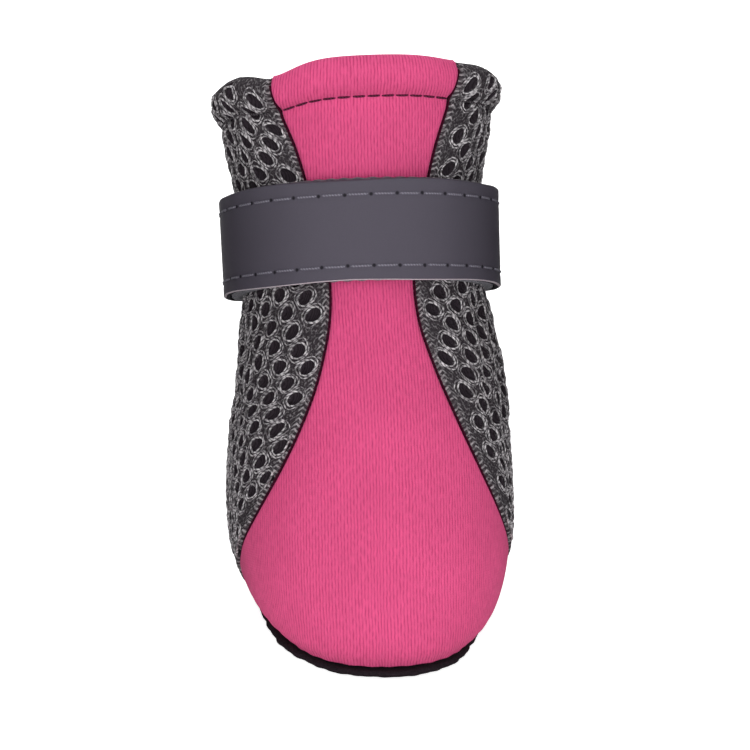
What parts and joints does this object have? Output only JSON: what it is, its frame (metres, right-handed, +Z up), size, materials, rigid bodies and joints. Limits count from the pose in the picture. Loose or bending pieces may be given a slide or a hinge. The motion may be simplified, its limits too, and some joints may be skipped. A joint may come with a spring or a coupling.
{
  "type": "dog boot",
  "caption": "Soft dog boot with a hollow mesh upper, stretch front panel, thin grip sole and a hook-and-loop ankle strap, standing open at the collar.",
  "frame": {"origin": "middle of the sole's underside, on the floor", "axes": "+Z up, toe towards -Y, heel towards +Y, +X to the viewer's right when the toe faces the viewer"},
  "size_m": [0.0502, 0.0773, 0.0977],
  "materials": {
    "grip_sole": "matt, fine dotted grip on a soft fabric base",
    "insole_felt": "matt felted pile",
    "spacer_mesh": "grey knitted spacer mesh with open dark holes",
    "stretch_panel": "matt pink jersey over thin foam, fine vertical ribs",
    "strap_pile": "soft loop pile",
    "strap_tape": "smooth grey reflective tape, satin"
  },
  "bodies": {
    "root": {"outsole": "grip_sole", "insole": "insole_felt", "upper": "spacer_mesh", "front_panel": "stretch_panel", "strap_backing": "strap_pile", "strap_face": "strap_tape"}
  },
  "joints": []
}
